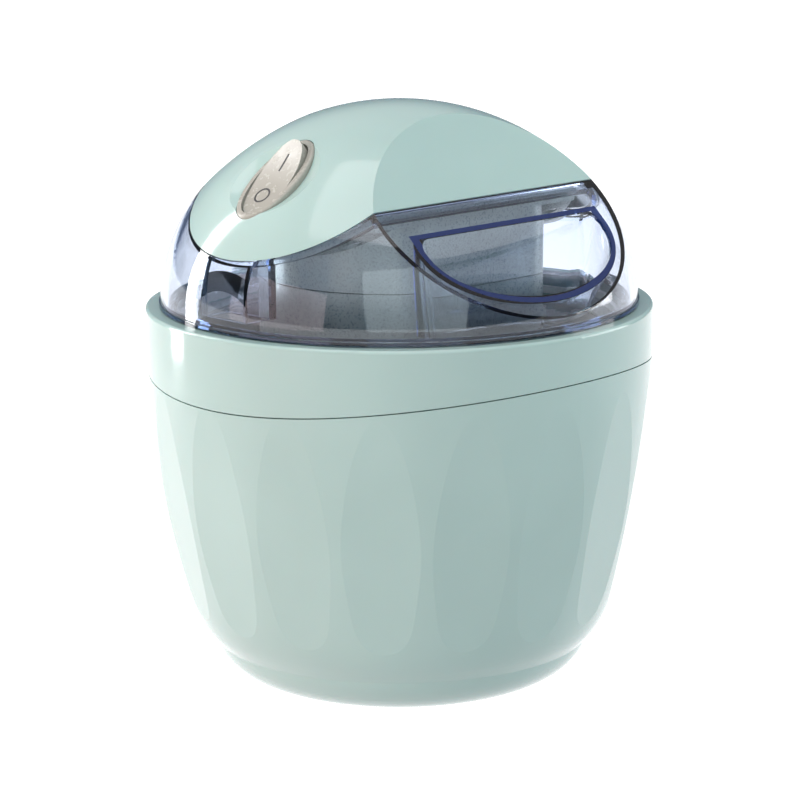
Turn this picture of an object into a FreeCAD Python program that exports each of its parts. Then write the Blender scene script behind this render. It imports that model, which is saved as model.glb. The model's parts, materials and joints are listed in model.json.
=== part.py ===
"""Ice cream maker: housing, freezer bowl, clear lid, motor unit and paddle.

Frame: millimetres, +Z up, origin at the centre of the base on the table plane.
The rocker switch faces -Y and the feed opening in the lid faces +X.
"""
import FreeCAD, Part
import math
import os

V = FreeCAD.Vector
Z_AXIS = V(0, 0, 1)

# ---------------------------------------------------------------- driving dimensions
RIM_Z = 127.5            # top face of the housing's rim above the table
RIM_R = 84.0             # outer radius of the rim
FOOT_GAP = 1.3           # the shell stands this far above the table, on its rubber feet
SHELL_WALL = 2.8         # thickness of the outer housing
FACETS = 17              # shallow oval facets round the housing
FACET_TOP = -27.9        # top and bottom tips of each facet, from the rim plane
FACET_BOTTOM = -99.9
FACET_DEPTH = 0.85       # depth of a facet at its middle

SEAM_MEAN = -18.9        # wavy seam between collar and housing, from the rim plane
SEAM_SIDE_WAVE = 3.6     # second-harmonic amplitude: low front and back, high at the sides
SEAM_TILT = 1.4          # first-harmonic amplitude: lower at the front
SEAM_GAP = 0.4

DOME_R = 79.0            # lid and motor cover share one dome over the rim
DOME_H = 66.8
DOME_SIDE_R = 59.0       # section radius of the dome's side; its crown is part of a ball
LID_WALL = 2.5
COVER_WALL = 2.4
COVER_EDGE = 40.0        # height of the straight cover edge over the rim
COVER_FACET_TILT = 38.0  # elevation of the cover facet's normal
COVER_FACET_OFF = 56.7   # distance of that plane from the rim centre
LID_FACET_TILT = 48.2    # elevation of the lid facet's normal
LID_FACET_OFF = 56.95
LOBE_LOW = 23.2          # lowest point of the cover's front and back lobes over the rim
LOBE_MID = 45.9          # centre height of the ellipse that bounds a lobe
LOBE_HALF = 42.5         # half width of that ellipse
FIT_GAP = 0.5            # gap between nested mouldings

BARREL_R = 46.5          # grey barrel of the motor unit
BARREL_FLAT = 36.4       # its two flats, across X
BARREL_WALL = 2.2
BARREL_SPLIT = 10.6      # parting line between motor base and gear cap, over the rim
BARREL_LOW = -10.0       # bottom of the gear cap, from the rim plane
TRAY_R = 57.4            # tray that closes the motor cover from below
TRAY_FLAT = 37.5
TRAY_LOW = 21.0          # lowest line of the tray over the rim
TRAY_SIDE = 32.0         # height of the tray's long edges over the rim
TRAY_TOP = 44.0

CAVITY_R = 66.5          # inner radius of the freezer bowl at its mouth
CAVITY_FLOOR_R = 56.5
CAVITY_FLOOR = -97.0
BOWL_TOP = -7.0
BOWL_BOTTOM = -108.3
METAL_WALL = 1.0
PLASTIC_WALL = 2.0

GEAR_MODULE = 0.5
PINION_TEETH = 12
WHEEL_TEETH = 48
OUTPUT_TEETH = 60
GEAR_PIN_R = 1.5
RUNNING = 0.05           # radial clearance of a shaft in its hole

SWITCH_Z = 48.0          # height of the switch centre over the rim
SWITCH_LONG = 35.6       # bezel length up the slope
SWITCH_WIDE = 20.6       # bezel width across it
GLAND_Z = 42.0
ROCKER_TILT = 7.5        # the rocker rests with its lower end pressed in by this angle
BIG = 260.0              # size of cutting blocks

# profile of the dome, worked out from the sizes above
SIDE_CENTRE = DOME_R - DOME_SIDE_R
CROWN_R = (SIDE_CENTRE ** 2 + DOME_H ** 2 - DOME_SIDE_R ** 2) / (2 * (DOME_H - DOME_SIDE_R))
JOIN_ANGLE = math.atan2(CROWN_R - DOME_H, SIDE_CENTRE)

# profile of the housing, as (radius, height over the rim)
SIDE_CURVE = [(RIM_R, 0), (83.75, -20), (81.9, -45.4), (78.1, -70.7), (74.65, -85.8),
              (71.6, -96.9), (68.4, -105.0), (63.9, -111.4)]
CREASE = (62.6, -113.0)
FOOT_SIDE = (60.9, -116.8)
FOOT_LOW_R = 45.0
SHELL_LOW = FOOT_GAP - RIM_Z
BASE_OPENING_R = 44.0

COLLAR_LIP_R = 76.3      # the lid and the freezer bowl pass inside this radius
COLLAR_BORE_R = 81.3
FOOT_R = 3.8             # rubber feet, set into shallow pockets of the base plate
FOOT_SUNK = 1.2
FOOT_CIRCLE = 34.0

# base
SCREW_R = 1.5
CRADLE_OUT = 50.2
CRADLE_IN = 45.0
SCREW_CIRCLE = 38.0
KEYS = 4

# freezer bowl: outside profile and keys
BOWL_OUTLINE = [(74.4, -13), (73.6, -45), (70.6, -71), (67.2, -86), (63.2, -97)]
BOWL_KEY_W = 11.2

# lid: feed chute and the spigot in the bowl's mouth
CHUTE_WALL = 2.4
CHUTE_LOW = -0.6
SPIGOT_OUT = 75.9
SPIGOT_IN = 73.6

# motor unit
SEAT_R = 19.0            # thick round seat under the switch
SEAT_LOW = -6.5
DISH_R = 46.0            # radius of the ball that hollows the dish round the switch
DISH_DEPTH = 4.6
SWITCH_SEAT = -4.4       # the bezel's seat below the dome's skin
GLAND_R = 4.6
COVER_POSTS = [(x, y) for x in (-25, 25) for y in (-43.5, 43.5)]
POST_JOINT = 38.0        # height over the rim where cover posts meet the tray's posts
SCREW_TIP = 44.0
HEAD_SEAT = 30.0

# motor plate and gear cap, over the rim
PLATE_LOW = 13.0
PLATE_HIGH = 15.5
CAP_FLOOR = BARREL_LOW + 2.4

# gear train: directions in degrees, levels from the rim plane
SECOND_DIR = 200.0       # direction from the output axis to the second gear
FIRST_DIR = 86.0         # direction from the second gear to the first
MOTOR_DIR = 16.3         # direction from the first gear to the motor
LEVEL_OUT = (-5.6, -0.8)
LEVEL_MID = (0.6, 4.8)
LEVEL_FAST = (6.2, 10.0)

# motor and output shaft
MOTOR_R = 12.2
MOTOR_LEN = 30.8
HEX_LOW = -25.0

# rocker
ROCKER_LONG = 30.2
ROCKER_WIDE = 15.4
ROCKER_DISH_R = 90.0     # the rocker's face is slightly hollow
ROCKER_DISH_Z = 88.6     # height of that hollow's axis over the skin
PIN_R = 1.2
PIN_REACH = 8.35
PIVOT_DROP = -3.5        # rocker axis below the dome's skin
ROCKER_SWEEP = 15.3      # the rocker's ends are round about its axis

# paddle
HUB_R = 8.5
FINGER_TOP = -2.8
BLADE_CLEAR = 2.2
PADDLE_DIR = -26.0

os.makedirs("parts", exist_ok=True)


# ---------------------------------------------------------------- helpers
def polar(radius, angle_deg, z=0.0):
    """Point at a radius and an angle from +X."""
    angle = math.radians(angle_deg)
    return V(radius * math.cos(angle), radius * math.sin(angle), z)


def ring(outer, inner, low, high):
    """Upright ring between two radii; heights are measured from the rim plane."""
    body = Part.makeCylinder(outer, high - low, V(0, 0, RIM_Z + low))
    return body.cut(Part.makeCylinder(inner, high - low + 2, V(0, 0, RIM_Z + low - 1)))


def disc(radius, low, high, x=0.0, y=0.0):
    """Upright cylinder; heights are measured from the rim plane."""
    return Part.makeCylinder(radius, high - low, V(x, y, RIM_Z + low))


def block(x0, x1, y0, y1, low, high):
    """Box between two corners; heights are measured from the rim plane."""
    return Part.makeBox(x1 - x0, y1 - y0, high - low, V(x0, y0, RIM_Z + low))


def section_point(radius, z):
    """Point of a half section in the XZ plane, z measured from the rim plane."""
    return V(radius, 0, RIM_Z + z)


def revolve(edges):
    """Solid of revolution about Z from the edges of a closed half section."""
    face = Part.Face(Part.Wire(Part.__sortEdges__(edges)))
    solid = face.revolve(V(0, 0, 0), Z_AXIS, 360)
    return solid if solid.Volume > 0 else solid.reversed()


def lines(points):
    """Straight edges through the points, in order."""
    return [Part.makeLine(a, b) for a, b in zip(points, points[1:])]


def revolve_outline(points):
    """Solid of revolution of a straight-sided closed outline of (radius, z) pairs."""
    corners = [section_point(r, z) for r, z in points]
    return revolve(lines(corners + corners[:1]))


def spline(points):
    """Smooth edge through (radius, z) pairs."""
    curve = Part.BSplineCurve()
    curve.interpolate([section_point(r, z) for r, z in points])
    return curve.toShape()


def arc(start, middle, end):
    """Circular edge through three (radius, z) pairs."""
    return Part.Arc(section_point(*start), section_point(*middle), section_point(*end)).toShape()


def turned(shape, angle_deg):
    """Copy of the shape turned about the vertical axis."""
    copy = shape.copy()
    copy.rotate(V(0, 0, 0), Z_AXIS, angle_deg)
    return copy


def around(shape, count, start=0.0):
    """Evenly spaced copies of the shape round the vertical axis."""
    return [turned(shape, start + 360.0 * k / count) for k in range(count)]


def mirrored(shape):
    """The shape and its mirror image across the YZ plane."""
    return [shape, shape.mirror(V(0, 0, 0), V(1, 0, 0))]


def fused(shapes):
    """One solid from overlapping shapes."""
    return shapes[0].multiFuse(shapes[1:]).removeSplitter()


def save(name, shape):
    """Write one node, as its solids, to its own STEP file."""
    solids = shape.Solids if hasattr(shape, "Solids") else [s for part in shape for s in part.Solids]
    assert solids, name
    for solid in solids:
        assert solid.isValid() and solid.Volume > 0, name
    out = solids[0] if len(solids) == 1 else Part.makeCompound(solids)
    out.exportStep("parts/%s.step" % name)
    print("%-20s %2d solid(s) %9.1f mm3" % (name, len(solids), sum(s.Volume for s in solids)))


# ---------------------------------------------------------------- shared curved bodies


def dome(inset):
    """Solid dome over the rim plane, inset from the outer skin: side arc, then ball-shaped crown."""
    side_r, crown_r = DOME_SIDE_R - inset, CROWN_R - inset

    def on_side(angle):
        return (SIDE_CENTRE + side_r * math.cos(angle), side_r * math.sin(angle))

    def on_crown(angle):
        return (crown_r * math.cos(angle), DOME_H - CROWN_R + crown_r * math.sin(angle))

    top = DOME_H - inset
    side = arc(on_side(0), on_side(JOIN_ANGLE / 2), on_side(JOIN_ANGLE))
    crown = arc(on_crown(JOIN_ANGLE), on_crown((JOIN_ANGLE + math.pi / 2) / 2), (0, top))
    return revolve([side, crown] + lines([section_point(0, top), section_point(0, 0),
                                          section_point(*on_side(0))]))


def dome_point(z):
    """Radius of the outer skin at a height over the rim, and its normal's lean from upright."""
    join_z = DOME_SIDE_R * math.sin(JOIN_ANGLE)
    if z < join_z:
        out = math.sqrt(DOME_SIDE_R ** 2 - z ** 2)
        return SIDE_CENTRE + out, math.degrees(math.atan2(out, z))
    rise = z - DOME_H + CROWN_R
    out = math.sqrt(CROWN_R ** 2 - rise ** 2)
    return out, math.degrees(math.atan2(out, rise))


def beyond_facet(tilt, offset):
    """Blocks outside the two slanted side planes, one at each side of the dome."""
    normal = V(math.cos(math.radians(tilt)), 0, math.sin(math.radians(tilt)))
    cutter = Part.makeBox(BIG, BIG, BIG, V(-BIG / 2, -BIG / 2, 0))
    cutter.rotate(V(0, 0, 0), V(0, 1, 0), 90 - tilt)
    cutter.translate(normal * offset + V(0, 0, RIM_Z))
    return mirrored(cutter)


def lid_space(inset):
    """Dome with the lid's two facets."""
    return dome(inset).cut(beyond_facet(LID_FACET_TILT, LID_FACET_OFF - inset))


def cover_space(inset):
    """Dome with the motor cover's two facets."""
    return dome(inset).cut(beyond_facet(COVER_FACET_TILT, COVER_FACET_OFF - inset))


def above_saddle(low, side, half_width, mid, side_reach):
    """Space above a saddle line seen along Y: an elliptic dip between two level shoulders."""
    depth = mid - low
    foot = half_width * math.sqrt(1 - ((mid - side) / depth) ** 2)
    start = math.atan2(-(mid - side) / depth, -foot / half_width) + 2 * math.pi
    end = math.atan2(-(mid - side) / depth, foot / half_width) + 2 * math.pi
    wide = half_width >= depth
    ellipse = Part.Ellipse(V(0, mid, 0), max(half_width, depth), min(half_width, depth))
    if not wide:
        ellipse.rotate(FreeCAD.Placement(V(0, 0, 0), FreeCAD.Rotation(Z_AXIS, 90)))
    dip = Part.ArcOfEllipse(ellipse, start, end).toShape()
    outline = lines([V(foot, side, 0), V(side_reach, side, 0), V(side_reach, BIG, 0),
                     V(-side_reach, BIG, 0), V(-side_reach, side, 0), V(-foot, side, 0)])
    face = Part.Face(Part.Wire(Part.__sortEdges__([dip] + outline)))
    face.rotate(V(0, 0, 0), V(1, 0, 0), 90)
    face.translate(V(0, BIG / 2, RIM_Z))
    return face.extrude(V(0, -BIG, 0))


def above_cover_edge(drop):
    """Space above the motor cover's lower edge, lowered by a distance."""
    return above_saddle(LOBE_LOW - drop, COVER_EDGE - drop, LOBE_HALF + drop, LOBE_MID, BIG / 2)


def flat_sided(radius, flat, low, high, corner):
    """Upright cylinder with two flats across X and softened corners."""
    body = disc(radius, low, high).common(block(-flat, flat, -radius, radius, low, high))
    upright = [e for e in body.Edges if abs(e.tangentAt(e.FirstParameter).z) > 0.99 and e.Length > 1
               and abs(e.Vertexes[0].X) > flat - 0.1]
    return body.makeFillet(corner, upright) if corner else body


# ---------------------------------------------------------------- housing


def side_radius(z):
    """Outer radius of the housing's side at a height from the rim plane, by linear steps."""
    for (r1, z1), (r0, z0) in zip(SIDE_CURVE, SIDE_CURVE[1:]):
        if z >= z0:
            return r0 + (r1 - r0) * (z - z0) / (z1 - z0)
    return SIDE_CURVE[-1][0]


def housing_solid():
    """Filled outside shape of collar and housing together, with the foot under its crease."""
    foot = Part.BSplineCurve()
    foot.interpolate([section_point(*p) for p in (CREASE, FOOT_SIDE, (55.2, -122.4), (FOOT_LOW_R, SHELL_LOW))])
    edges = [spline(SIDE_CURVE), Part.makeLine(section_point(*SIDE_CURVE[-1]), section_point(*CREASE)),
             foot.toShape()]
    edges += lines([section_point(FOOT_LOW_R, SHELL_LOW), section_point(0, SHELL_LOW),
                    section_point(0, 0), section_point(RIM_R, 0)])
    return revolve(edges)


def housing_hollow():
    """Inside of the housing, one wall thickness in from the side curve."""
    inner = [(r - SHELL_WALL, z) for r, z in SIDE_CURVE[1:]]
    floor = SHELL_LOW + SHELL_WALL
    edges = [spline(inner)]
    edges += lines([section_point(*inner[-1]), section_point(57.6, -118.0), section_point(50.5, floor),
                    section_point(0, floor), section_point(0, 10), section_point(inner[0][0], 10),
                    section_point(*inner[0])])
    return revolve(edges)


def seam_height(psi):
    """Height of the seam from the rim plane; psi runs from the front towards +X."""
    return SEAM_MEAN - SEAM_SIDE_WAVE * math.cos(2 * psi) - SEAM_TILT * math.cos(psi)


def below_seam(shift):
    """Ring-shaped space below the wavy seam, moved up or down by a shift."""
    steps = 24

    def loop(radius, drop):
        points = []
        for k in range(steps):
            psi = 2 * math.pi * k / steps
            z = seam_height(psi) + shift - drop
            points.append(V(radius * math.sin(psi), -radius * math.cos(psi), RIM_Z + z))
        curve = Part.BSplineCurve()
        curve.interpolate(points, PeriodicFlag=True)
        return curve.toShape()

    inner, outer, deep = 12, RIM_R + 8, 140
    loops = [loop(inner, 0), loop(outer, 0), loop(outer, deep), loop(inner, deep)]
    faces = [Part.makeRuledSurface(a, b) for a, b in zip(loops, loops[1:] + loops[:1])]
    solid = Part.Solid(Part.Shell(faces))
    return solid if solid.Volume > 0 else solid.reversed()


def facet_cutter():
    """Space outside the large tangential cylinder that cuts one facet, at the front."""
    middle = (FACET_TOP + FACET_BOTTOM) / 2
    top = (side_radius(FACET_TOP), FACET_TOP)
    bottom = (side_radius(FACET_BOTTOM), FACET_BOTTOM)
    circle = Part.Circle(V(*top, 0), V(79.2 - FACET_DEPTH, middle, 0), V(*bottom, 0))
    drum = Part.makeCylinder(circle.Radius, 60, V(0, 0, 0), V(1, 0, 0))
    drum.translate(V(-30, -circle.Center.x, RIM_Z + circle.Center.y))
    return block(-15, 15, -95, -60, FACET_BOTTOM - 8, FACET_TOP + 8).cut(drum)


def make_housing():
    """Rim collar, faceted housing, and the locating ring behind their seam."""
    shell = housing_solid().cut(housing_hollow())
    shell = shell.cut(disc(BASE_OPENING_R, -RIM_Z, -RIM_Z + 10))
    shell = shell.cut(disc(RIM_R - SHELL_WALL, -12, 5))
    collar_wall = shell.cut([below_seam(SEAM_GAP / 2), disc(COLLAR_BORE_R, -40, 5)])
    lip = ring(COLLAR_LIP_R + 2, COLLAR_LIP_R, -9, -0.5)
    flange = ring(RIM_R - 1, COLLAR_LIP_R, -2.6, 0)
    collar = fused([collar_wall, flange, lip])
    top_edges = [e for e in collar.Edges if e.BoundBox.ZMin > RIM_Z - 0.01 and e.BoundBox.XMax > RIM_R - 0.5]
    save("rim_collar", collar.makeFillet(1.0, top_edges))

    wall = shell.common(below_seam(-SEAM_GAP / 2))
    locating = ring(COLLAR_BORE_R - 0.3, COLLAR_BORE_R - 2.1, -35, -11.5)
    wall = fused([wall, locating])
    save("outer_housing", wall.cut(around(facet_cutter(), FACETS)))


# ---------------------------------------------------------------- base inside the housing


def make_base():
    """Cradle under the freezer bowl, base plate, its screws and the rubber feet."""
    floor = SHELL_LOW + SHELL_WALL
    cradle = ring(CRADLE_OUT, CRADLE_IN, floor, BOWL_BOTTOM)
    deck = ring(CRADLE_IN + 1, 20, floor, floor + 3)
    boss = disc(4.5, floor, floor + 9, SCREW_CIRCLE, 0)
    cradle = fused([cradle, deck] + around(boss, 4, 45))
    notch = block(CRADLE_IN - 3, CRADLE_OUT + 3, -6, 6, BOWL_BOTTOM - 4, BOWL_BOTTOM + 1)
    pilot = disc(SCREW_R, SHELL_LOW - 1, floor + 8, SCREW_CIRCLE, 0)
    save("bowl_cradle", cradle.cut(around(notch, KEYS)).cut(around(pilot, 4, 45)))

    plate = disc(BASE_OPENING_R - 0.3, SHELL_LOW + 0.2, floor - 0.1)
    head_room = disc(3.4, SHELL_LOW - 1, SHELL_LOW + 1.6, SCREW_CIRCLE, 0)
    groove = ring(27, 25, SHELL_LOW - 1, SHELL_LOW + 0.8)
    foot_pocket = disc(FOOT_R + 0.1, -RIM_Z, SHELL_LOW + FOOT_SUNK, FOOT_CIRCLE, 0)
    drilled = around(pilot, 4, 45) + around(head_room, 4, 45) + around(foot_pocket, 4)
    save("base_plate", plate.cut(drilled + [groove]))

    head = disc(3.0, SHELL_LOW + 0.3, SHELL_LOW + 1.55, SCREW_CIRCLE, 0)
    slot = block(SCREW_CIRCLE - 2.2, SCREW_CIRCLE + 2.2, -0.4, 0.4, SHELL_LOW, SHELL_LOW + 0.9)
    shank = disc(SCREW_R - 0.05, SHELL_LOW + 1.5, floor + 7, SCREW_CIRCLE, 0)
    screw = fused([head, shank]).cut(slot)
    save("base_screws", around(screw, 4, 45))

    foot = disc(FOOT_R, -RIM_Z, SHELL_LOW + FOOT_SUNK, FOOT_CIRCLE, 0)
    foot = foot.makeFillet(0.5, [e for e in foot.Edges if e.BoundBox.ZMax < 0.01])
    save("rubber_feet", around(foot, 4))


# ---------------------------------------------------------------- freezer bowl


def bowl_outside(inset):
    """Filled outside shape of the freezer bowl's plastic wall, inset by a thickness."""
    side = [(r - inset, z) for r, z in BOWL_OUTLINE]
    low = BOWL_BOTTOM + inset
    edges = [spline(side), arc(side[-1], (side[-1][0] - 4.2, low + 3.0), (side[-1][0] - 11.5, low))]
    edges += lines([section_point(side[-1][0] - 11.5, low), section_point(0, low),
                    section_point(0, side[0][1]), section_point(*side[0])])
    return revolve(edges)


def cavity(inset, top):
    """Filled inside shape of the freezer bowl, grown outwards by a thickness."""
    r_top, r_low, floor = CAVITY_R + inset, CAVITY_FLOOR_R + inset, CAVITY_FLOOR - inset
    corner = 9.0
    lean = (r_top - r_low) / (BOWL_TOP - floor)
    start = (r_low + lean * corner, floor + corner)
    edges = [Part.makeLine(section_point(r_top + lean * (top - BOWL_TOP), top), section_point(*start)),
             arc(start, (r_low - corner * 0.29 + 0.3, floor + corner * 0.29), (r_low - corner, floor))]
    edges += lines([section_point(r_low - corner, floor), section_point(0, floor), section_point(0, top),
                    section_point(r_top + lean * (top - BOWL_TOP), top)])
    return revolve(edges)


def make_freezer_bowl():
    """Metal cavity, plastic outer wall, sealed coolant, rim ring and its seal."""
    pivot = disc(3.0, CAVITY_FLOOR - METAL_WALL, CAVITY_FLOOR + 4)
    pivot = pivot.makeFillet(1.2, [e for e in pivot.Edges if e.BoundBox.ZMin > RIM_Z + CAVITY_FLOOR + 3.9])
    metal = cavity(METAL_WALL, BOWL_TOP - 1).cut(cavity(0, BOWL_TOP + 5))
    metal = fused([metal.cut(disc(BIG / 2, BOWL_TOP - 1, 5)), pivot])
    save("bowl_inner_wall", metal)

    wall = bowl_outside(0).cut(bowl_outside(PLASTIC_WALL)).cut(disc(72.2, -16, -10))
    key = block(CRADLE_IN + 0.4, CRADLE_OUT - 0.4, -BOWL_KEY_W / 2, BOWL_KEY_W / 2,
                BOWL_BOTTOM - 3.4, BOWL_BOTTOM + 1)
    save("bowl_outer_wall", fused([wall] + around(key, KEYS)))

    gel = bowl_outside(PLASTIC_WALL + 0.2).cut(cavity(METAL_WALL + 0.2, 0))
    save("coolant_fill", gel.cut(disc(BIG / 2, -20, 5)))

    rim = revolve_outline([(67.9, -13.2), (67.9, -7.9), (67.2, BOWL_TOP), (74.6, BOWL_TOP), (75.6, -8),
                           (75.6, -12.8), (72.0, -12.8), (72.0, -18.5), (70.4, -18.5), (70.4, -13.2)])
    save("bowl_rim_ring", rim)
    seal = ring(70.2, 67.9, -17.5, -13.4)
    save("bowl_seal", seal)


# ---------------------------------------------------------------- clear lid


def half_ellipse(end, crest, centre):
    """Half of an ellipse, from one end of its long axis over its crest to the other end."""
    return Part.ArcOfEllipse(Part.Ellipse(end, crest, centre), 0, math.pi).toShape()


def feed_outline(grow, lift):
    """D-shaped outline in the lid's +X facet, grown all round and lifted off the facet."""
    half, top, corner = 40.3 + grow, 11.5 - grow, 5.0 + grow
    waist, low = 18.0, 42.2 + grow
    tilt = math.radians(LID_FACET_TILT)
    normal = V(math.cos(tilt), 0, math.sin(tilt))
    down = V(math.sin(tilt), 0, -math.cos(tilt))
    chord_x = (LID_FACET_OFF - COVER_EDGE * math.sin(tilt)) / math.cos(tilt)
    origin = V(chord_x, 0, RIM_Z + COVER_EDGE) + normal * lift

    def facet_point(across, along):
        return origin + V(0, across, 0) + down * along

    cut = corner * (1 - math.cos(math.pi / 4))
    top_y = half - corner + 0.6
    side = facet_point(half, waist)
    arc_r = Part.Arc(facet_point(top_y, top), facet_point(half - cut + 0.3, top + cut + 0.4), side)
    arc_l = Part.Arc(facet_point(-half, waist), facet_point(-half + cut - 0.3, top + cut + 0.4),
                     facet_point(-top_y, top))
    bottom = half_ellipse(side, facet_point(0, low), facet_point(0, waist))
    return [Part.makeLine(facet_point(-top_y, top), facet_point(top_y, top)),
            arc_r.toShape(), bottom, arc_l.toShape()]


def chute_foot(grow, z):
    """The chute's lower outline, level and inside the freezer bowl's mouth."""
    inner_x, half, corner = 46.6 - grow, 33.0 + grow, 4.0
    reach = 61.0 + grow
    z += RIM_Z
    waist = inner_x + 5.0
    top_y = half - corner
    arc_r = Part.Arc(V(inner_x, top_y, z), V(inner_x + 1.0, half - 0.9, z), V(waist, half, z)).toShape()
    arc_l = Part.Arc(V(waist, -half, z), V(inner_x + 1.0, -half + 0.9, z), V(inner_x, -top_y, z)).toShape()
    bulge = half_ellipse(V(waist, half, z), V(reach, 0, z), V(waist, 0, z))
    return [Part.makeLine(V(inner_x, -top_y, z), V(inner_x, top_y, z)), arc_r, bulge, arc_l]


def chute(grow, lift, z):
    """Funnel between the feed opening and the chute's foot."""
    upper, lower = feed_outline(grow, lift), chute_foot(grow, z)
    faces = [Part.makeRuledSurface(*pair) for pair in zip(upper, lower)]
    faces += [Part.Face(Part.Wire(edges)) for edges in (upper, lower)]
    shell = Part.makeShell(faces)
    shell.sewShape()
    solid = Part.makeSolid(shell)
    return solid if solid.Volume > 0 else solid.reversed()


def make_lid():
    """Clear lid: dome, joggle under the motor cover, feed chute, latch pocket and foot."""
    space = lid_space(0)
    skin = space.cut(lid_space(LID_WALL)).cut(above_cover_edge(0.4))
    joggle = space.cut(lid_space(COVER_WALL + FIT_GAP + 2.2))
    joggle = joggle.common(above_cover_edge(2.6)).cut(above_cover_edge(0.4))
    inner = lid_space(COVER_WALL + FIT_GAP).cut(lid_space(COVER_WALL + FIT_GAP + 2.2))
    inner = inner.common(above_cover_edge(1.2)).cut(disc(BIG / 2, 38, 80))
    passage = flat_sided(TRAY_R + 0.7, TRAY_FLAT + 0.7, 5, 80, 0)
    switch_room = block(-SEAT_R - 1.5, SEAT_R + 1.5, -80, -50, 29.5, 60)
    gland_room = block(-GLAND_R - 3, GLAND_R + 3, 45, 80, 29.5, 60)
    shell = fused([skin, joggle.cut(gland_room), inner.cut([switch_room, gland_room])]).cut(passage)

    pocket = block(-10.5, 10.5, -75, -62.5, 4, 24).cut(block(-8.5, 8.5, -73.2, -64.5, 2, 30))
    pocket = pocket.common(lid_space(1.0)).cut(above_cover_edge(0.4))
    foot = revolve_outline([(DOME_R + 0.4, 0), (DOME_R + 0.4, 1.6), (DOME_R - 1.0, 2.4), (DOME_R - 3.4, 2.4),
                            (SPIGOT_IN, -0.4), (SPIGOT_IN, -5.6), (SPIGOT_OUT, -5.6), (SPIGOT_OUT, 0)])
    funnel = chute(CHUTE_WALL, 0, CHUTE_LOW).common(fused([space, disc(DOME_R - 4, -8, 0.01)]))
    lid = fused([shell, pocket, foot, funnel]).cut(chute(0, 3.0, CHUTE_LOW - 1.0))
    save("clear_lid", lid)
    save("lid_gasket", ring(SPIGOT_IN - 0.05, SPIGOT_IN - 1.9, -5.6, -3.2))


# ---------------------------------------------------------------- motor unit: shells
def slope_frame(front):
    """Placement on the dome at the switch (front) or gland (back): +Z outwards, +Y up the slope."""
    height = SWITCH_Z if front else GLAND_Z
    radius, lean = dome_point(height)
    frame = FreeCAD.Placement(V(0, -radius, RIM_Z + height), FreeCAD.Rotation(V(1, 0, 0), lean))
    if not front:
        frame = FreeCAD.Placement(V(0, 0, 0), FreeCAD.Rotation(Z_AXIS, 180)).multiply(frame)
    return frame


def placed(shape, frame):
    """Copy of a shape moved from a local frame to the model."""
    copy = shape.copy()
    copy.transformShape(frame.toMatrix(), True)
    return copy


def oval(long_size, wide_size, low, high):
    """Elliptic cylinder, long along Y, between two heights of its local frame."""
    curve = Part.Ellipse(V(0, 0, 0), long_size / 2, wide_size / 2).toShape()
    curve.rotate(V(0, 0, 0), Z_AXIS, 90)
    curve.translate(V(0, 0, low))
    return Part.Face(Part.Wire(curve)).extrude(V(0, 0, high - low))


def make_cover():
    """Motor cover with the dished switch seat, gland hole and screw posts."""
    skin = cover_space(0).cut(cover_space(COVER_WALL)).common(above_cover_edge(0))
    front = slope_frame(True)
    seat = placed(Part.makeCylinder(SEAT_R, 12, V(0, 0, SEAT_LOW)), front).common(cover_space(0))
    dish = placed(Part.makeSphere(DISH_R, V(0, 0, DISH_R - DISH_DEPTH)), front)
    hole = placed(oval(SWITCH_LONG - 3.4, SWITCH_WIDE - 3.4, -14, 12), front)
    step = placed(oval(SWITCH_LONG + 0.3, SWITCH_WIDE + 0.3, SWITCH_SEAT - 0.8, 12), front)
    gland_hole = placed(Part.makeCylinder(GLAND_R + 0.1, 20, V(0, 0, -10)), slope_frame(False))
    posts = [disc(4.0, POST_JOINT, 60, x, y).common(cover_space(1.0)) for x, y in COVER_POSTS]
    pilots = [disc(SCREW_R, 30, SCREW_TIP + 1, x, y) for x, y in COVER_POSTS]
    cover = fused([skin, seat] + posts).cut([dish, hole, step, gland_hole] + pilots)
    save("motor_cover", cover)


def tray_space(inset, lift):
    """Space of the tray: flat-sided plan above its saddle-shaped underside."""
    plan = flat_sided(TRAY_R - inset, TRAY_FLAT - inset, 10, TRAY_TOP, 0)
    saddle = above_saddle(TRAY_LOW + lift, TRAY_SIDE + lift, LOBE_HALF, LOBE_MID + 3, BIG / 2)
    return plan.common(saddle)


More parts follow.
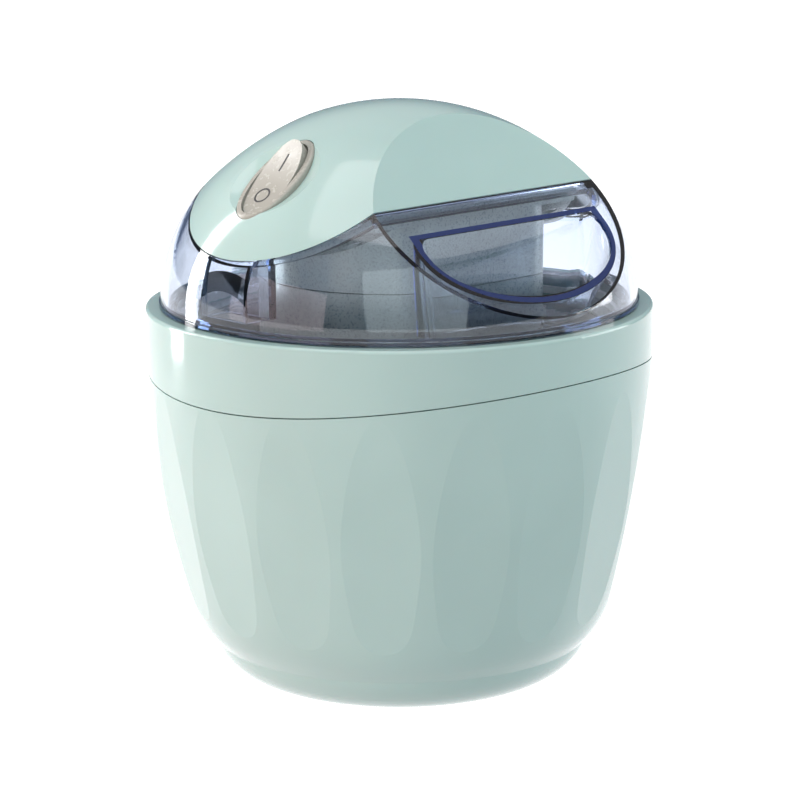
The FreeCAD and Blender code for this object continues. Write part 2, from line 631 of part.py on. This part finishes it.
def make_motor_base():
    """Upper barrel with the saddle-shaped tray that closes the motor cover."""
    tray = tray_space(0, 0).common(cover_space(COVER_WALL + FIT_GAP))
    barrel = flat_sided(BARREL_R, BARREL_FLAT, BARREL_SPLIT + 0.15, 34, 10)
    bore = flat_sided(BARREL_R - BARREL_WALL, BARREL_FLAT - BARREL_WALL, BARREL_SPLIT - 1, 80, 8)
    floor_space = tray_space(2.2, 2.2)
    posts = [disc(4.4, TRAY_LOW, POST_JOINT - 0.1, x, y).common(tray_space(0, 0)) for x, y in COVER_POSTS]
    ledge = flat_sided(BARREL_R - 1, BARREL_FLAT - 1, BARREL_SPLIT + 0.15, PLATE_LOW - 0.05, 8)
    ledge = ledge.cut(flat_sided(BARREL_R - 4.6, BARREL_FLAT - 4.6, BARREL_SPLIT - 1, 20, 6))
    base = fused([tray.cut(floor_space)] + posts + [barrel]).cut(bore)
    pilots = [disc(SCREW_R + 0.1, 10, 50, x, y) for x, y in COVER_POSTS]
    pilots += [disc(3.2, 10, HEAD_SEAT, x, y) for x, y in COVER_POSTS]
    switch_room = placed(Part.makeCylinder(SEAT_R + 0.8, 60, V(0, 0, -15)), slope_frame(True))
    gland_room = placed(Part.makeCylinder(GLAND_R + 2.6, 60, V(0, 0, -12)), slope_frame(False))
    save("motor_base", fused([base, ledge]).cut(pilots + [switch_room, gland_room]))

    screws = [fused([disc(SCREW_R - 0.05, HEAD_SEAT - 1, SCREW_TIP, x, y),
                     disc(2.9, HEAD_SEAT - 2.4, HEAD_SEAT - 0.02, x, y)]) for x, y in COVER_POSTS]
    save("cover_screws", screws)


def make_gear_cap():
    """Cup that closes the barrel from below and carries the output bushing."""
    outside = flat_sided(BARREL_R, BARREL_FLAT, BARREL_LOW, BARREL_SPLIT - 0.15, 10)
    low_edges = [e for e in outside.Edges if e.BoundBox.ZMax < RIM_Z + BARREL_LOW + 0.01]
    outside = outside.makeFillet(2.0, low_edges)
    inside = flat_sided(BARREL_R - BARREL_WALL, BARREL_FLAT - BARREL_WALL, CAP_FLOOR, 80, 8)
    boss = disc(10.5, CAP_FLOOR - 0.5, CAP_FLOOR + 1.6)
    cap = fused([outside.cut(inside), boss])
    save("gear_cap", cap.cut([disc(7.5, -20, 0)] + pin_holes(CAP_FLOOR - 1.5)))


# ---------------------------------------------------------------- motor unit: drive train
def gear_blank(teeth, low, high, phase):
    """Spur gear about the origin with a tooth centred on the phase angle."""
    pitch_r = teeth * GEAR_MODULE / 2
    step = 2 * math.pi / teeth
    flank = [(pitch_r - 1.2 * GEAR_MODULE, 0.33), (pitch_r - 0.5 * GEAR_MODULE, 0.285),
             (pitch_r, 0.225), (pitch_r + 0.5 * GEAR_MODULE, 0.16), (pitch_r + 0.95 * GEAR_MODULE, 0.095)]
    shape = [(r, -w) for r, w in flank] + [(r, w) for r, w in reversed(flank)]
    points = []
    for k in range(teeth):
        centre = math.radians(phase) + k * step
        points += [V(r * math.cos(centre + w * step), r * math.sin(centre + w * step), RIM_Z + low)
                   for r, w in shape]
    return Part.Face(Part.makePolygon(points + points[:1])).extrude(V(0, 0, high - low))


def at(shape, place):
    """Copy of the shape moved sideways to a place."""
    copy = shape.copy()
    copy.translate(place)
    return copy


def mesh_distance(teeth_a, teeth_b):
    """Centre distance of two meshing gears, with a little backlash."""
    return (teeth_a + teeth_b) * GEAR_MODULE / 2 + 0.03


OUT_STEP = mesh_distance(PINION_TEETH, OUTPUT_TEETH)
MID_STEP = mesh_distance(PINION_TEETH, WHEEL_TEETH)
SECOND = polar(OUT_STEP, SECOND_DIR)
FIRST = SECOND + polar(MID_STEP, FIRST_DIR)
MOTOR = FIRST + polar(MID_STEP, MOTOR_DIR)


def pin_holes(depth):
    """Holes for the two gear pins, from a depth up."""
    return [disc(GEAR_PIN_R, depth, 30, p.x, p.y) for p in (FIRST, SECOND)]


def compound_gear(place, wheel_level, wheel_phase, pinion_level, pinion_phase):
    """Moulded wheel and pinion in one piece, bored for its pin."""
    wheel = gear_blank(WHEEL_TEETH, *wheel_level, wheel_phase)
    pinion = gear_blank(PINION_TEETH, *pinion_level, pinion_phase)
    low = min(wheel_level[0], pinion_level[0])
    high = max(wheel_level[1], pinion_level[1])
    neck = disc(2.35, low, high)
    gear = fused([wheel, pinion, neck]).cut(disc(GEAR_PIN_R + RUNNING, low - 1, high + 1))
    return at(gear, place)


def make_drive():
    """Motor, its plate and screws, the reduction gears, output shaft, bushing and seal."""
    first = compound_gear(FIRST, LEVEL_FAST, MOTOR_DIR + 180.0 / WHEEL_TEETH, LEVEL_MID, FIRST_DIR + 180)
    save("first_gear", first)
    second = compound_gear(SECOND, LEVEL_MID, FIRST_DIR + 180.0 / WHEEL_TEETH, LEVEL_OUT, SECOND_DIR + 180)
    save("second_gear", second)
    save("gear_pins", [disc(GEAR_PIN_R - 0.01, CAP_FLOOR - 1.4, PLATE_LOW + 1.5, p.x, p.y)
                       for p in (FIRST, SECOND)])

    wheel = gear_blank(OUTPUT_TEETH, *LEVEL_OUT, SECOND_DIR + 180.0 / OUTPUT_TEETH)
    hub = disc(8.0, LEVEL_OUT[0], LEVEL_OUT[1] + 0.6)
    shaft = disc(5.0, BARREL_LOW - 1.5, LEVEL_OUT[0] + 0.1)
    journal = disc(2.0, LEVEL_OUT[1], PLATE_HIGH - 0.5)
    hexagon = Part.Face(Part.makePolygon([polar(4.6, 60 * k, RIM_Z + HEX_LOW) for k in range(7)]))
    drive = hexagon.extrude(V(0, 0, BARREL_LOW - 1.0 - HEX_LOW))
    save("output_gear", fused([wheel, hub, shaft, journal, drive]))

    save("shaft_bushing", fused([ring(7.45, 5.0 + RUNNING, BARREL_LOW + 0.2, CAP_FLOOR + 1.6),
                                 ring(9.0, 5.0 + RUNNING, CAP_FLOOR + 1.6, CAP_FLOOR + 1.95)]))
    save("shaft_seal", ring(7.4, 5.4, BARREL_LOW - 0.9, BARREL_LOW + 0.15))

    plate = flat_sided(BARREL_R - BARREL_WALL - 0.3, BARREL_FLAT - BARREL_WALL - 0.3, PLATE_LOW, PLATE_HIGH, 8)
    holes = pin_holes(PLATE_LOW - 1) + [disc(2.0 + RUNNING, 10, 20), disc(4.2, 10, 20, MOTOR.x, MOTOR.y)]
    tabs = [MOTOR + polar(8.0, a) for a in (0, 180)]
    holes += [disc(1.1, 10, 20, p.x, p.y) for p in tabs]
    holes += [disc(3.0, 10, 20, p.x, p.y) for p in (V(22, -14, 0), V(-22, -24, 0), V(18, 24, 0))]
    save("motor_plate", plate.cut(holes))

    can = disc(MOTOR_R, PLATE_HIGH + 0.02, PLATE_HIGH + MOTOR_LEN, MOTOR.x, MOTOR.y)
    can = can.makeFillet(1.5, [e for e in can.Edges if e.BoundBox.ZMin > RIM_Z + PLATE_HIGH + MOTOR_LEN - 0.01])
    nose = disc(4.0, PLATE_HIGH - 1.5, PLATE_HIGH + 1, MOTOR.x, MOTOR.y)
    core = disc(1.3, PLATE_HIGH - 3, PLATE_HIGH + MOTOR_LEN - 4, MOTOR.x, MOTOR.y)
    taps = [disc(1.0, 10, PLATE_HIGH + 4, p.x, p.y) for p in tabs]
    back = disc(4.0, PLATE_HIGH + MOTOR_LEN - 1, PLATE_HIGH + MOTOR_LEN + 2, MOTOR.x, MOTOR.y)
    save("motor_can", fused([can, nose, back]).cut([core] + taps))
    save("motor_screws", [fused([disc(0.95, PLATE_LOW - 0.1, PLATE_HIGH + 3.5, p.x, p.y),
                                 disc(2.0, PLATE_LOW - 1.4, PLATE_LOW - 0.05, p.x, p.y)]) for p in tabs])

    pinion = at(gear_blank(PINION_TEETH, LEVEL_FAST[0] - 0.6, LEVEL_FAST[1] + 0.6, MOTOR_DIR + 180), MOTOR)
    spindle = disc(1.25, LEVEL_FAST[0] - 1.0, PLATE_HIGH + MOTOR_LEN - 6, MOTOR.x, MOTOR.y)
    save("motor_pinion", fused([pinion, spindle]))


# ---------------------------------------------------------------- switch and gland


def make_switch():
    """Oval bezel with its case, the tilting rocker, its marks, and the cord gland."""
    front = slope_frame(True)
    bezel = oval(SWITCH_LONG, SWITCH_WIDE, SWITCH_SEAT, SWITCH_SEAT + 3.0)
    bezel = bezel.makeFillet(0.9, [e for e in bezel.Edges if e.BoundBox.ZMin > SWITCH_SEAT + 2.9])
    body = oval(SWITCH_LONG - 3.6, SWITCH_WIDE - 3.6, -13.5, SWITCH_SEAT + 0.2)
    window = oval(ROCKER_LONG + 1.2, ROCKER_WIDE + 1.0, -11.8, 5)
    case = fused([bezel, body]).cut(window)
    journal = Part.makeCylinder(PIN_R + RUNNING, 2 * PIN_REACH + 0.2, V(-PIN_REACH - 0.1, 0, PIVOT_DROP), V(1, 0, 0))
    save("switch_bezel", placed(case.cut(journal), front))

    rocker = oval(ROCKER_LONG, ROCKER_WIDE, PIVOT_DROP - 5.0, 0.6)
    hollow = Part.makeCylinder(ROCKER_DISH_R, 40, V(-20, 0, ROCKER_DISH_Z), V(1, 0, 0))
    sweep = Part.makeCylinder(ROCKER_SWEEP, 40, V(-20, 0, PIVOT_DROP), V(1, 0, 0))
    pins = Part.makeCylinder(PIN_R, 2 * PIN_REACH, V(-PIN_REACH, 0, PIVOT_DROP), V(1, 0, 0))
    rocker = fused([rocker.cut(hollow).common(sweep), pins])
    stroke = Part.makeBox(0.7, 6.6, 3.0, V(-0.35, 3.0, -2.9))
    loop = Part.makeCylinder(3.0, 3.0, V(0, -7.0, -2.9)).cut(Part.makeCylinder(2.35, 3.0, V(0, -7.0, -2.9)))
    under = Part.makeCylinder(ROCKER_DISH_R + 0.35, 40, V(-20, 0, ROCKER_DISH_Z), V(1, 0, 0))
    skin = Part.makeCylinder(ROCKER_DISH_R - 0.05, 40, V(-20, 0, ROCKER_DISH_Z), V(1, 0, 0))
    inlay = [mark.common(under).cut(skin) for mark in (stroke, loop)]
    rocker = rocker.cut(inlay)
    tilt = FreeCAD.Placement(V(0, 0, 0), FreeCAD.Rotation(V(1, 0, 0), ROCKER_TILT), V(0, 0, PIVOT_DROP))
    frame = front.multiply(tilt)
    save("switch_rocker", placed(rocker, frame))
    save("switch_marks", [placed(s, frame) for s in inlay])

    gland = Part.makeCylinder(GLAND_R, 8, V(0, 0, -5))
    flange = Part.makeCylinder(GLAND_R + 2.0, 1.6, V(0, 0, 0.1))
    tail = Part.makeCone(GLAND_R, 3.4, 4, V(0, 0, 1.6))
    gland = fused([gland, flange, tail]).cut(Part.makeCylinder(2.4, 30, V(0, 0, -10)))
    save("cord_gland", placed(gland, slope_frame(False)))


# ---------------------------------------------------------------- paddle


def make_paddle():
    """Stirring paddle: socketed hub, two ribbed blades, and twin fingers round the barrel."""
    low = CAVITY_FLOOR + 1.0
    lean = (CAVITY_R - CAVITY_FLOOR_R) / (BOWL_TOP - CAVITY_FLOOR)

    def reach(z):
        return CAVITY_FLOOR_R + lean * (z - CAVITY_FLOOR) - BLADE_CLEAR

    hub = disc(HUB_R, low, BARREL_LOW - 2.4)
    corners = [(HUB_R - 2, low), (reach(low) - 9, low), (reach(low + 9), low + 9), (reach(-20), -20),
               (reach(-20) - 9, -20), (reach(-34) - 12, -34), (HUB_R - 2, -34)]
    outline = Part.makePolygon([V(r, -1.5, RIM_Z + z) for r, z in corners + corners[:1]])
    blade = Part.Face(outline).extrude(V(0, 3, 0))
    windows = [block(16, reach(z0) - 10, -5, 5, z0, z0 + 13) for z0 in (low + 8, low + 27, low + 46)]
    blade = blade.cut(windows[:3])
    shelf = ring(57.5, 53.5, -24, -16).common(wedge(24))
    fingers = ring(57.0, 54.0, -20, FINGER_TOP).common(wedge(22)).cut(wedge(12))
    arm = fused([blade, shelf, fingers])
    socket = Part.Face(Part.makePolygon([polar(4.9, 60 * k, RIM_Z + HEX_LOW - 1.5) for k in range(7)]))
    paddle = fused([hub] + [turned(arm, PADDLE_DIR + k * 180) for k in range(2)])
    paddle = paddle.cut([socket.extrude(V(0, 0, 40)), disc(3.2, low - 1, CAVITY_FLOOR + 4.6)])
    save("paddle", paddle)


def wedge(angle):
    """Wedge about +X with its tip on the axis."""
    half = math.radians(angle / 2)
    far = BIG / 2
    corners = [V(0, 0, 0), V(far * math.cos(half), -far * math.sin(half), 0),
               V(far * math.cos(half), far * math.sin(half), 0), V(0, 0, 0)]
    return Part.Face(Part.makePolygon(corners)).extrude(V(0, 0, BIG))


make_housing()
make_base()
make_freezer_bowl()
make_lid()
make_cover()
make_motor_base()
make_gear_cap()
make_drive()
make_switch()
make_paddle()
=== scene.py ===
import json
import math

import bpy
from mathutils import Matrix, Vector

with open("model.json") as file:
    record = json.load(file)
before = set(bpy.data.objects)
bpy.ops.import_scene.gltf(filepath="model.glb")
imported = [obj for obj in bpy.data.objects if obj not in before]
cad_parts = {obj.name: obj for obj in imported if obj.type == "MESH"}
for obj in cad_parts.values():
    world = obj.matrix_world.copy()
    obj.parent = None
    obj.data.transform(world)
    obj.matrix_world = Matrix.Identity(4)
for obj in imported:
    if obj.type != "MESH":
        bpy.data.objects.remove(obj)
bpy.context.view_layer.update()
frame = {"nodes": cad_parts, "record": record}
NODES = frame["nodes"]

# camera: metres and degrees; azimuth is measured from the object's front (-Y) towards +X
CAM_AZIMUTH = 47.0
CAM_DISTANCE = 1.100      # horizontal, from the object's axis
CAM_HEIGHT = 0.3361
CAM_PITCH = 12.425        # below the horizon
CAM_ROLL = 0.467
CAM_LENS = 152.0          # millimetres, like SENSOR
SENSOR = 36.0
CLIP_NEAR, CLIP_FAR = 0.01, 50.0

# the lid's slanted facet and the D-shaped feed opening in it; metres and degrees
FACET_TILT = 48.2         # elevation of the facet's normal
FACET_LEVEL = 0.15200     # distance of the facet's plane from the origin
FACET_START = -0.08130    # where the opening's own height is zero, down the facet
OPENING_HALF = 0.0386     # half width
OPENING_TOP = 0.0132
OPENING_WAIST = 0.018     # where the sides turn into the lower half-ellipse
OPENING_DROP = 0.0249     # height of that half-ellipse
RIM_WIDTH = 0.0018        # of the cut rim, along the opening's top edge
RIM_OUTER = 1.17          # square of the rim's outer size over its inner size
RIM_DEPTH = 0.0008        # how far off the facet's plane a point still counts as rim
# painted shade: the opening's cut rim is painted navy and made mostly opaque, in place of the
# dark tinted light trapped in the rim's thickness
RIM_PAINTED_NAVY = (0.008, 0.024, 0.115, 1.0)
RIM_PAINTED_TRANSMISSION = 0.15

# clear plastic: white where it faces the viewer, turning to a painted navy where it is seen edge
# on, a painted reflection of the dim surroundings
PAINTED_EDGE_NAVY = (0.02, 0.06, 0.24, 1)
PAINTED_EDGE_START, PAINTED_EDGE_END = 0.84, 0.97
TINT = (0.02, 0.36, 0.90, 1.0)
TINT_DENSITY = 48.0       # per metre

FLOOR_HALF = 8.0
FLOOR_GAP = 0.0002        # below the feet
FLOOR_EMISSION = 1.2

MIDDLE = (0, 0, 0.1)      # most lights point here
STRIP_MIDDLE = (0, 0, 0.32)

# colour of the surroundings from straight down (0) over eye level (0.5) to straight up (1)
WORLD_RAMP = [
    (0.0, (0.50, 0.52, 0.53)),
    (0.44, (0.42, 0.45, 0.47)),
    (0.50, (0.10, 0.13, 0.19)),
    (0.60, (0.14, 0.17, 0.23)),
    (0.72, (0.46, 0.46, 0.49)),
    (1.0, (0.57, 0.56, 0.58)),
]


def srgb(r, g, b):
    """0-255 display values to the linear colour that a shader takes."""
    out = []
    for v in (r, g, b):
        c = v / 255
        out.append(c / 12.92 if c <= 0.04045 else ((c + 0.055) / 1.055) ** 2.4)
    return (*out, 1.0)


class Shader:
    """A node material under construction, with short calls for the nodes that recur."""

    def __init__(self, name):
        self.material = bpy.data.materials.new(name)
        self.material.use_nodes = True
        self.tree = self.material.node_tree
        self.main = self.tree.nodes["Principled BSDF"]
        self.coords = self.node("ShaderNodeTexCoord").outputs["Object"]

    def node(self, kind, **values):
        made = self.tree.nodes.new(kind)
        for key, value in values.items():
            setattr(made, key, value)
        return made

    def link(self, a, b):
        self.tree.links.new(a, b)

    def noise(self, scale, detail, stretch=(1, 1, 1)):
        mapping = self.node("ShaderNodeMapping")
        mapping.inputs["Scale"].default_value = stretch
        self.link(self.coords, mapping.inputs["Vector"])
        made = self.node("ShaderNodeTexNoise")
        made.inputs["Scale"].default_value = scale
        made.inputs["Detail"].default_value = detail
        self.link(mapping.outputs["Vector"], made.inputs["Vector"])
        return made.outputs["Fac"]

    def ranged(self, source, low, high, start=0.3, end=0.7):
        made = self.node("ShaderNodeMapRange")
        limits = (("From Min", start), ("From Max", end), ("To Min", low), ("To Max", high))
        for key, value in limits:
            made.inputs[key].default_value = value
        self.link(source, made.inputs["Value"])
        return made.outputs["Result"]

    def two_tone(self, source, first, second, start=0.35, end=0.65):
        ramp = self.node("ShaderNodeValToRGB")
        ramp.color_ramp.elements[0].position = start
        ramp.color_ramp.elements[0].color = first
        ramp.color_ramp.elements[1].position = end
        ramp.color_ramp.elements[1].color = second
        self.link(source, ramp.inputs["Fac"])
        return ramp.outputs["Color"]

    def bump(self, source, strength, distance):
        made = self.node("ShaderNodeBump")
        made.inputs["Strength"].default_value = strength
        made.inputs["Distance"].default_value = distance
        self.link(source, made.inputs["Height"])
        self.link(made.outputs["Normal"], self.main.inputs["Normal"])

    def calc(self, operation, a, b):
        """A Math node; each side is an output of another node or a plain float."""
        made = self.node("ShaderNodeMath", operation=operation)
        for socket, value in zip(made.inputs, (a, b)):
            if isinstance(value, float):
                socket.default_value = value
            else:
                self.link(value, socket)
        return made.outputs["Value"]

    def along(self, direction):
        """How far a point of the surface lies in a direction from the origin."""
        made = self.node("ShaderNodeVectorMath", operation="DOT_PRODUCT")
        self.link(self.coords, made.inputs[0])
        made.inputs[1].default_value = direction
        return made.outputs["Value"]

    def set(self, **values):
        for key, value in values.items():
            self.main.inputs[key.replace("_", " ")].default_value = value


def moulded(name, first, second, rough, grain=900.0, depth=0.00002, spread=0.05, strength=0.12):
    """Moulded plastic: a faint cloudy colour change, an uneven gloss and a fine surface grain."""
    shader = Shader(name)
    cloud = shader.noise(scale=22.0, detail=2.0)
    shader.link(shader.two_tone(cloud, first, second), shader.main.inputs["Base Color"])
    fine = shader.noise(scale=grain, detail=4.0)
    gloss = shader.ranged(fine, rough - spread, rough + spread)
    shader.link(gloss, shader.main.inputs["Roughness"])
    shader.bump(fine, strength, depth)
    return shader


def mint():
    shader = moulded("mint_gloss", srgb(162, 189, 184), srgb(166, 193, 188), rough=0.11,
                     grain=700.0, depth=0.00001, spread=0.03)
    shader.set(IOR=1.5, Coat_Weight=0.15, Coat_Roughness=0.05)
    shader.set(Subsurface_Weight=0.08, Subsurface_Scale=0.004)
    return shader


def opening_rim(shader):
    """1 on the cut rim of the D-shaped feed opening in the lid's slanted facet, 0 elsewhere:
    where the rim's painted navy shade goes.
    """
    calc, along = shader.calc, shader.along
    tilt = math.radians(FACET_TILT)
    level = calc("SUBTRACT", along((math.cos(tilt), 0, math.sin(tilt))), FACET_LEVEL)
    down = calc("SUBTRACT", along((math.sin(tilt), 0, -math.cos(tilt))), FACET_START)
    across = calc("DIVIDE", along((0, 1, 0)), OPENING_HALF)
    past_waist = calc("MAXIMUM", calc("SUBTRACT", down, OPENING_WAIST), 0.0)
    below = calc("DIVIDE", past_waist, OPENING_DROP)
    radius = calc("ADD", calc("MULTIPLY", across, across), calc("MULTIPLY", below, below))
    outer = calc("MULTIPLY", calc("LESS_THAN", radius, RIM_OUTER),
                 calc("GREATER_THAN", down, OPENING_TOP - RIM_WIDTH))
    inner = calc("MULTIPLY", calc("LESS_THAN", radius, 1.0),
                 calc("GREATER_THAN", down, OPENING_TOP))
    near = calc("LESS_THAN", calc("ABSOLUTE", level, 0.0), RIM_DEPTH)
    return calc("MULTIPLY", calc("SUBTRACT", outer, inner), near)


def clear():
    """Clear plastic with a blue tint in its thickness, a painted navy reflection at its edges and
    painted navy shade on the opening rim.
    """
    shader = Shader("clear_tinted_painted_edges")
    gloss = shader.ranged(shader.noise(scale=60.0, detail=2.0), 0.0, 0.03)
    shader.link(gloss, shader.main.inputs["Roughness"])
    shader.bump(shader.noise(scale=25.0, detail=1.0), strength=0.02, distance=0.0001)
    # painted reflection: navy is painted onto edge-on parts in place of the dim surroundings they
    # would mirror
    facing = shader.node("ShaderNodeLayerWeight")
    facing.inputs["Blend"].default_value = 0.5
    painted_edge = shader.two_tone(facing.outputs["Facing"], (1, 1, 1, 1), PAINTED_EDGE_NAVY,
                           PAINTED_EDGE_START, PAINTED_EDGE_END)
    painted_rim = opening_rim(shader)
    # painted shade: navy is painted on the opening's rim, with transmission cut down there
    blend = shader.node("ShaderNodeMixRGB")
    shader.link(painted_rim, blend.inputs["Fac"])
    shader.link(painted_edge, blend.inputs["Color1"])
    blend.inputs["Color2"].default_value = RIM_PAINTED_NAVY
    shader.link(blend.outputs["Color"], shader.main.inputs["Base Color"])
    transmission = shader.ranged(painted_rim, 1.0, RIM_PAINTED_TRANSMISSION, 0.0, 1.0)
    shader.link(transmission, shader.main.inputs["Transmission Weight"])
    shader.set(IOR=1.49)
    volume = shader.node("ShaderNodeVolumeAbsorption")
    volume.inputs["Color"].default_value = TINT
    volume.inputs["Density"].default_value = TINT_DENSITY
    surface = shader.tree.nodes["Material Output"]
    shader.link(volume.outputs["Volume"], surface.inputs["Volume"])
    return shader


def barrel_grey():
    shader = moulded("barrel_grey", srgb(124, 136, 134), srgb(148, 160, 158), rough=0.30,
                     grain=1500.0, depth=0.00006, spread=0.08, strength=0.5)
    shader.set(Metallic=0.25)
    return shader


def metal(name, colour, rough, stretch=(1, 1, 1)):
    """Bare metal with a fine grain, drawn out where stretch says so."""
    shader = Shader(name)
    fine = shader.noise(scale=600.0, detail=4.0, stretch=stretch)
    darker = tuple(v * 0.86 for v in colour[:3]) + (1.0,)
    shader.link(shader.two_tone(fine, darker, colour), shader.main.inputs["Base Color"])
    gloss = shader.ranged(fine, rough - 0.08, rough + 0.08)
    shader.link(gloss, shader.main.inputs["Roughness"])
    shader.bump(fine, strength=0.25, distance=0.00003)
    shader.set(Metallic=1.0)
    return shader


def make_materials():
    shaders = {
        "mint_plastic": mint(),
        "clear_plastic": clear(),
        "grey_plastic": barrel_grey(),
        "white_plastic": moulded("white_plastic", srgb(226, 228, 226), srgb(232, 234, 232),
                                 rough=0.35),
        "cream_plastic": moulded("cream_gloss", srgb(156, 156, 147), srgb(160, 160, 151),
                                 rough=0.25, grain=500.0, depth=0.000004),
        "dark_plastic": moulded("dark_plastic", srgb(44, 50, 56), srgb(52, 58, 64), rough=0.35),
        "aluminium": metal("bowl_aluminium", srgb(78, 92, 100), rough=0.38, stretch=(1, 1, 8)),
        "coolant": moulded("coolant_gel", srgb(140, 176, 214), srgb(170, 200, 230), rough=0.3),
        "rubber": moulded("black_rubber", srgb(34, 34, 35), srgb(42, 42, 43), rough=0.7,
                          grain=1200.0, depth=0.00006),
        "silicone": moulded("pale_silicone", srgb(214, 218, 218), srgb(222, 226, 226),
                            rough=0.5),
        "steel": metal("machine_steel", srgb(176, 178, 180), rough=0.3),
        "acetal": moulded("acetal_gears", srgb(232, 229, 217), srgb(238, 235, 224), rough=0.4),
        "bronze": metal("sintered_bronze", srgb(176, 138, 84), rough=0.45),
        "mark_ink": moulded("mark_ink", srgb(38, 40, 42), srgb(46, 48, 50), rough=0.5),
    }
    return {slot: shader.material for slot, shader in shaders.items()}


def dress_nodes(materials):
    slots = {part["node"]: part["material_slot"] for part in frame["record"]["subparts"]}
    for name, thing in NODES.items():
        thing.data.materials.clear()
        thing.data.materials.append(materials[slots[name]])


def make_camera():
    data = bpy.data.cameras.new("photo_camera")
    data.lens = CAM_LENS
    data.sensor_width = SENSOR
    data.clip_start, data.clip_end = CLIP_NEAR, CLIP_FAR
    camera = bpy.data.objects.new("photo_camera", data)
    bpy.context.scene.collection.objects.link(camera)
    turn = math.radians(CAM_AZIMUTH)
    pitch = math.radians(90.0 - CAM_PITCH)
    roll = math.radians(-CAM_ROLL)
    place = Vector((CAM_DISTANCE * math.sin(turn), -CAM_DISTANCE * math.cos(turn), CAM_HEIGHT))
    facing = Matrix.Rotation(turn, 4, "Z") @ Matrix.Rotation(pitch, 4, "X")
    camera.matrix_world = Matrix.Translation(place) @ facing @ Matrix.Rotation(roll, 4, "Z")
    bpy.context.scene.camera = camera


def make_floor():
    """A glowing white floor that is mirrored in the object but neither lights nor shades it."""
    mesh = bpy.data.meshes.new("floor")
    half = FLOOR_HALF
    corners = [(-half, -half, 0), (half, -half, 0), (half, half, 0), (-half, half, 0)]
    mesh.from_pydata([Vector(c) for c in corners], [], [(0, 1, 2, 3)])
    floor = bpy.data.objects.new("floor", mesh)
    bpy.context.scene.collection.objects.link(floor)
    floor.location.z = -FLOOR_GAP
    shader = Shader("floor_white")
    shade = shader.noise(scale=3.0, detail=2.0)
    tone = shader.two_tone(shade, srgb(128, 128, 128), srgb(132, 132, 132))
    shader.link(tone, shader.main.inputs["Base Color"])
    shader.set(Roughness=0.9, Emission_Color=(1, 1, 1, 1), Emission_Strength=FLOOR_EMISSION)
    mesh.materials.append(shader.material)
    floor.visible_diffuse = False
    floor.visible_shadow = False


def area_light(name, place, target, size, watts, colour=(1, 1, 1)):
    data = bpy.data.lights.new(name, "AREA")
    data.shape = "RECTANGLE"
    data.size, data.size_y = size
    data.energy = watts
    data.color = colour
    light = bpy.data.objects.new(name, data)
    bpy.context.scene.collection.objects.link(light)
    light.location = place
    aim = Vector(target) - Vector(place)
    light.rotation_euler = aim.to_track_quat("-Z", "Y").to_euler()
    return light


def around_camera(angle, radius, height):
    """A place around the object, at degrees from the camera's side; positive is its right."""
    turn = math.radians(CAM_AZIMUTH + angle)
    return (radius * math.sin(turn), -radius * math.cos(turn), height)


def make_world():
    """Studio surroundings by height: bright below and above, dim blue-grey at eye level."""
    world = bpy.data.worlds.new("studio")
    world.use_nodes = True
    tree = world.node_tree
    direction = tree.nodes.new("ShaderNodeTexCoord").outputs["Generated"]
    split = tree.nodes.new("ShaderNodeSeparateXYZ")
    height = tree.nodes.new("ShaderNodeMapRange")
    height.inputs["From Min"].default_value = -1.0
    ramp = tree.nodes.new("ShaderNodeValToRGB")
    tree.links.new(direction, split.inputs["Vector"])
    tree.links.new(split.outputs["Z"], height.inputs["Value"])
    tree.links.new(height.outputs["Result"], ramp.inputs["Fac"])
    tree.links.new(ramp.outputs["Color"], tree.nodes["Background"].inputs["Color"])
    for position, _ in WORLD_RAMP[2:]:
        ramp.color_ramp.elements.new(position)
    for element, (position, colour) in zip(ramp.color_ramp.elements, WORLD_RAMP):
        element.position = position
        element.color = (*colour, 1.0)
    bpy.context.scene.world = world
    bpy.context.scene.view_settings.view_transform = "Standard"


def make_lights():
    area_light("top_soft", around_camera(-25, 0.30, 1.5), MIDDLE, size=(1.3, 1.3),
               watts=11.0, colour=(1.0, 0.95, 0.95))
    area_light("left_strip", around_camera(-111, 0.55, 0.32), STRIP_MIDDLE, size=(0.085, 0.62),
               watts=2.4)
    fill = area_light("left_fill", around_camera(-62, 1.9, 0.10), MIDDLE, size=(1.9, 1.5),
                      watts=30.0, colour=(1.0, 0.75, 0.68))
    fill.visible_glossy = False  # lights the left side without a rectangle in the clear lid
    area_light("front_fill", around_camera(8, 2.8, 1.0), MIDDLE, size=(2.6, 2.2),
               watts=29.0, colour=(0.88, 1.0, 0.99))
    area_light("right_fill", around_camera(105, 1.6, 0.45), MIDDLE, size=(0.9, 1.0),
               watts=13.0)


dress_nodes(make_materials())
make_camera()
make_lights()
make_world()
make_floor()
